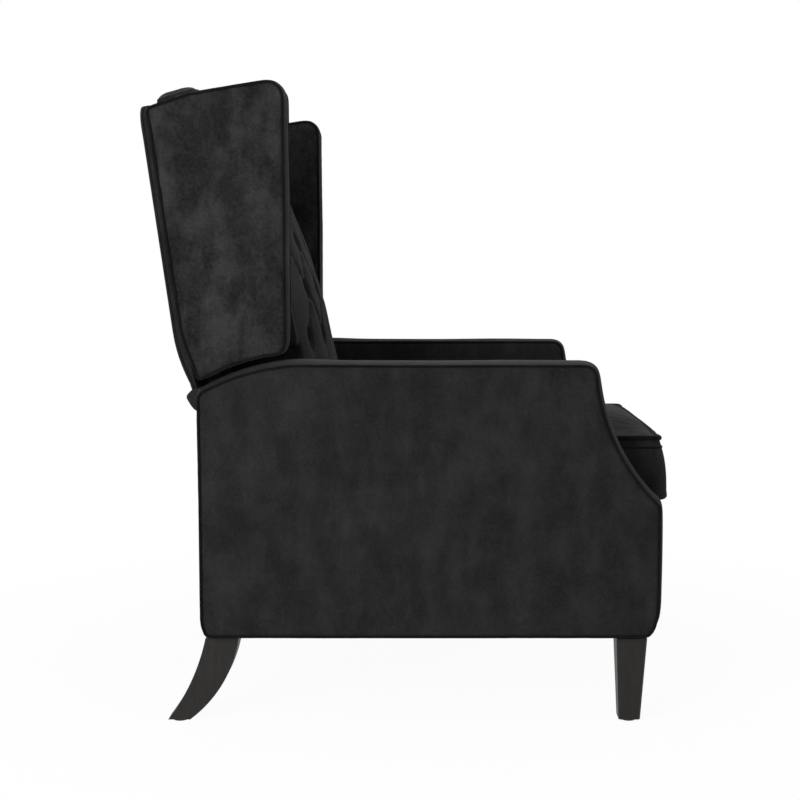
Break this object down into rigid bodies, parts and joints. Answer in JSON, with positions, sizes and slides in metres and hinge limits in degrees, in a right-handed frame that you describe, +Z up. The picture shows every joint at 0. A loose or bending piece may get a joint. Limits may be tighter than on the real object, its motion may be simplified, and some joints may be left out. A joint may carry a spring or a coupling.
{
  "type": "wingback recliner",
  "caption": "Push-back recliner with wings, a diamond-tufted back, padded sloping arms and a linked footrest that unfolds as the back reclines.",
  "frame": {"origin": "floor level, in the middle of the chair's bounding box", "axes": "+X towards the sitter's left, -Y towards the front, +Z up"},
  "size_m": [0.73, 0.8469, 1.0381],
  "materials": {
    "velvet": "short-pile velvet",
    "dust_cloth": "plain woven cloth",
    "webbing": "woven elastic",
    "frame_wood": "sawn",
    "leg_wood": "dark satin",
    "steel": "black satin",
    "rivet": "zinc",
    "glide": "matt"
  },
  "bodies": {
    "chassis": {"arm_pad_left": "velvet", "arm_pad_right": "velvet", "arm_outer_panel_left": "velvet", "arm_outer_panel_right": "velvet", "arm_front_posts": "frame_wood", "arm_rear_posts": "frame_wood", "arm_top_rails": "frame_wood", "arm_bottom_rails": "frame_wood", "front_leg_left": "leg_wood", "front_leg_right": "leg_wood", "rear_leg_left": "leg_wood", "rear_leg_right": "leg_wood", "leg_bolts": "rivet", "floor_glides": "glide", "front_rail": "frame_wood", "rear_rail": "frame_wood", "rear_apron": "velvet", "base_side_rails": "frame_wood", "base_plate_left": "steel", "base_plate_right": "steel", "cross_tubes": "steel", "base_pins": "rivet", "back_pivot_bolts": "rivet"},
    "front_swing": {"front_swing_links": "steel"},
    "rear_swing": {"rear_swing_links": "steel"},
    "seat": {"seat_plate_left": "steel", "seat_plate_right": "steel", "seat_pins": "rivet", "seat_side_rail_left": "frame_wood", "seat_side_rail_right": "frame_wood", "seat_front_rail": "frame_wood", "seat_rear_rail": "frame_wood", "seat_webbing": "webbing", "seat_deck": "dust_cloth", "seat_cushion": "velvet", "seat_front_band": "velvet"},
    "back": {"back_post_left": "frame_wood", "back_post_right": "frame_wood", "back_lumbar_rail": "frame_wood", "back_top_rail": "frame_wood", "back_lower_rail": "frame_wood", "back_webbing": "webbing", "back_brackets": "steel", "wing_pad_left": "velvet", "wing_pad_right": "velvet", "wing_frame_left": "frame_wood", "wing_frame_right": "frame_wood", "wing_outer_panel_left": "velvet", "wing_outer_panel_right": "velvet", "back_cushion": "velvet", "tuft_buttons": "velvet", "outside_back": "velvet"},
    "front_ottoman": {"front_ottoman_links": "steel"},
    "rear_ottoman": {"rear_ottoman_links": "steel"},
    "upper_ottoman": {"upper_ottoman_links": "steel"},
    "lower_ottoman": {"lower_ottoman_links": "steel"},
    "footrest": {"footrest_board": "frame_wood", "footrest_pad": "velvet", "footrest_brackets": "steel"}
  },
  "joints": [
    {"name": "back_recline", "type": "hinge", "parent": "chassis", "child": "back", "pos_m": [0, 0.3, 0.43], "axis": [-1, 0, 0], "range_deg": [0, 30]},
    {"name": "rear_swing_pivot", "type": "hinge", "parent": "chassis", "child": "rear_swing", "pos_m": [0, 0.01606, 0.26022], "axis": [-1, 0, 0], "range_deg": [-45.01, 0]},
    {"name": "front_swing_pivot", "type": "hinge", "parent": "chassis", "child": "front_swing", "pos_m": [0, -0.22394, 0.26022], "axis": [-1, 0, 0], "range_deg": [-45.01, 0]},
    {"name": "seat_glide", "type": "hinge", "parent": "rear_swing", "child": "seat", "pos_m": [0, 0.04, 0.326], "axis": [-1, 0, 0], "range_deg": [0, 45.01]},
    {"name": "front_ottoman_pivot", "type": "hinge", "parent": "seat", "child": "front_ottoman", "pos_m": [0, -0.28, 0.326], "axis": [-1, 0, 0], "range_deg": [0, 118.01]},
    {"name": "rear_ottoman_pivot", "type": "hinge", "parent": "seat", "child": "rear_ottoman", "pos_m": [0, -0.232, 0.326], "axis": [-1, 0, 0], "range_deg": [0, 118.01]},
    {"name": "upper_ottoman_pivot", "type": "hinge", "parent": "front_ottoman", "child": "upper_ottoman", "pos_m": [0, -0.176, 0.266], "axis": [-1, 0, 0], "range_deg": [-118.01, 0]},
    {"name": "lower_ottoman_pivot", "type": "hinge", "parent": "front_ottoman", "child": "lower_ottoman", "pos_m": [0, -0.178, 0.229], "axis": [-1, 0, 0], "range_deg": [-115.38, 0]},
    {"name": "footrest_pivot", "type": "hinge", "parent": "upper_ottoman", "child": "footrest", "pos_m": [0, -0.348, 0.318], "axis": [-1, 0, 0], "range_deg": [0, 105.44]}
  ],
  "couplings": [
    {"joint": "rear_swing_pivot", "follows": "back_recline", "ratio": -1.5},
    {"joint": "front_swing_pivot", "follows": "back_recline", "ratio": -1.5},
    {"joint": "seat_glide", "follows": "back_recline", "ratio": 1.5},
    {"joint": "front_ottoman_pivot", "follows": "back_recline", "ratio": 3.9333},
    {"joint": "rear_ottoman_pivot", "follows": "back_recline", "ratio": 3.9333},
    {"joint": "upper_ottoman_pivot", "follows": "back_recline", "ratio": -3.9333},
    {"joint": "lower_ottoman_pivot", "follows": "back_recline", "ratio": -3.8457},
    {"joint": "footrest_pivot", "follows": "back_recline", "ratio": 3.5143}
  ]
}
